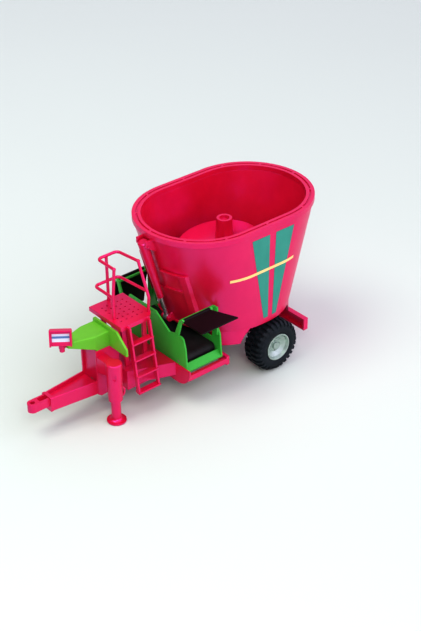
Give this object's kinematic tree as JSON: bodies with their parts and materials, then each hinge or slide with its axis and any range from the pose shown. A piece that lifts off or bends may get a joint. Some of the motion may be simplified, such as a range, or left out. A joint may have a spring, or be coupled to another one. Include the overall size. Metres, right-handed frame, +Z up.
{
  "type": "vertical feed mixer wagon",
  "caption": "Towed scale-model feed mixer: slanted oval tub with a helical auger, sliding discharge gate, cross conveyor with flaps, platform, ladder and stand.",
  "frame": {"origin": "centre of the tow eye's bore, half way up its height", "axes": "+X forward in the towing direction, +Y to the left, +Z up along the tow eye's bore; the ground is at z = -0.0354"},
  "size_m": [0.3634, 0.1626, 0.1798],
  "materials": {
    "red_plastic": "moulded, semi-gloss",
    "green_plastic": "moulded, semi-gloss",
    "black_plastic": "moulded, satin",
    "grey_plastic": "moulded, satin",
    "silver_plastic": "metallic coat, satin",
    "steel": "drawn, bright",
    "belt_rubber": "smooth",
    "tyre_rubber": "moulded, dull",
    "screen_print": "printed, glossy"
  },
  "bodies": {
    "wagon": {"tow_eye": "red_plastic", "drawbar": "red_plastic", "drive_tower": "red_plastic", "display_stem": "red_plastic", "display_knob": "red_plastic", "stand_sleeve": "red_plastic", "platform_deck": "red_plastic", "platform_leg_left": "red_plastic", "platform_leg_right": "red_plastic", "railing": "red_plastic", "ladder": "red_plastic", "chassis_frame": "red_plastic", "tub_shell": "red_plastic", "tub_floor": "red_plastic", "skirt_rear": "red_plastic", "skirt_left": "red_plastic", "skirt_right": "red_plastic", "rim_ring": "red_plastic", "gate_guide_left": "red_plastic", "gate_guide_right": "red_plastic", "cylinder_barrel": "red_plastic", "cylinder_bracket": "red_plastic", "cylinder_pin": "red_plastic", "rear_bumper": "red_plastic", "console_hood": "green_plastic", "conveyor_trough": "green_plastic", "flap_frame_left": "green_plastic", "flap_frame_right": "green_plastic", "hinge_pin_left": "steel", "hinge_pin_right": "steel", "axle": "steel", "floor_bush": "grey_plastic", "shaft_bush_front": "grey_plastic", "shaft_bush_rear": "grey_plastic", "gear_housing": "grey_plastic", "conveyor_belt": "belt_rubber"},
    "display": {"display_housing": "red_plastic", "display_screen": "screen_print"},
    "stand_leg": {"stand_leg": "red_plastic"},
    "gate": {"gate": "red_plastic", "gate_pin": "red_plastic", "piston_rod": "steel"},
    "flap_left": {"flap_left": "black_plastic"},
    "flap_right": {"flap_right": "black_plastic"},
    "auger": {"auger": "red_plastic", "auger_shaft": "steel", "crown_gear": "grey_plastic"},
    "drive": {"drive_shaft": "steel", "pinion": "grey_plastic"},
    "wheel_left": {"tyre_left": "tyre_rubber", "rim_left": "silver_plastic"},
    "wheel_right": {"tyre_right": "tyre_rubber", "rim_right": "silver_plastic"},
    "roller_left": {"roller_left": "grey_plastic"},
    "roller_right": {"roller_right": "grey_plastic"}
  },
  "joints": [
    {"name": "auger_spin", "type": "hinge", "parent": "wagon", "child": "auger", "pos_m": [-0.2546, 0, 0.0246], "axis": [0, 0, 1], "continuous": true},
    {"name": "drive_spin", "type": "hinge", "parent": "wagon", "child": "drive", "pos_m": [-0.16, 0, -0.0024], "axis": [1, 0, 0], "continuous": true},
    {"name": "wheel_left_spin", "type": "hinge", "parent": "wagon", "child": "wheel_left", "pos_m": [-0.2654, 0.062, -0.0064], "axis": [0, 1, 0], "continuous": true},
    {"name": "wheel_right_spin", "type": "hinge", "parent": "wagon", "child": "wheel_right", "pos_m": [-0.2654, -0.062, -0.0064], "axis": [0, 1, 0], "continuous": true},
    {"name": "gate_slide", "type": "slide", "parent": "wagon", "child": "gate", "axis": [0.269, 0, 0.9631], "range_m": [0, 0.02]},
    {"name": "flap_left_hinge", "type": "hinge", "parent": "wagon", "child": "flap_left", "pos_m": [-0.169, 0.0553, 0.0643], "axis": [1, 0, 0], "range_deg": [-72, 0]},
    {"name": "flap_right_hinge", "type": "hinge", "parent": "wagon", "child": "flap_right", "pos_m": [-0.169, -0.0553, 0.0643], "axis": [1, 0, 0], "range_deg": [-72, 0]},
    {"name": "stand_leg_slide", "type": "slide", "parent": "wagon", "child": "stand_leg", "axis": [0, 0, 1], "range_m": [0, 0.016]},
    {"name": "display_swivel", "type": "hinge", "parent": "wagon", "child": "display", "pos_m": [-0.0402, 0, 0.0596], "axis": [0, 0, 1], "range_deg": [-60, 60]},
    {"name": "roller_left_spin", "type": "hinge", "parent": "wagon", "child": "roller_left", "pos_m": [-0.174, 0.048, 0.0126], "axis": [1, 0, 0], "continuous": true},
    {"name": "roller_right_spin", "type": "hinge", "parent": "wagon", "child": "roller_right", "pos_m": [-0.174, -0.048, 0.0126], "axis": [1, 0, 0], "continuous": true}
  ],
  "couplings": [
    {"joint": "drive_spin", "follows": "auger_spin", "ratio": -2},
    {"joint": "roller_right_spin", "follows": "roller_left_spin", "ratio": 1}
  ]
}
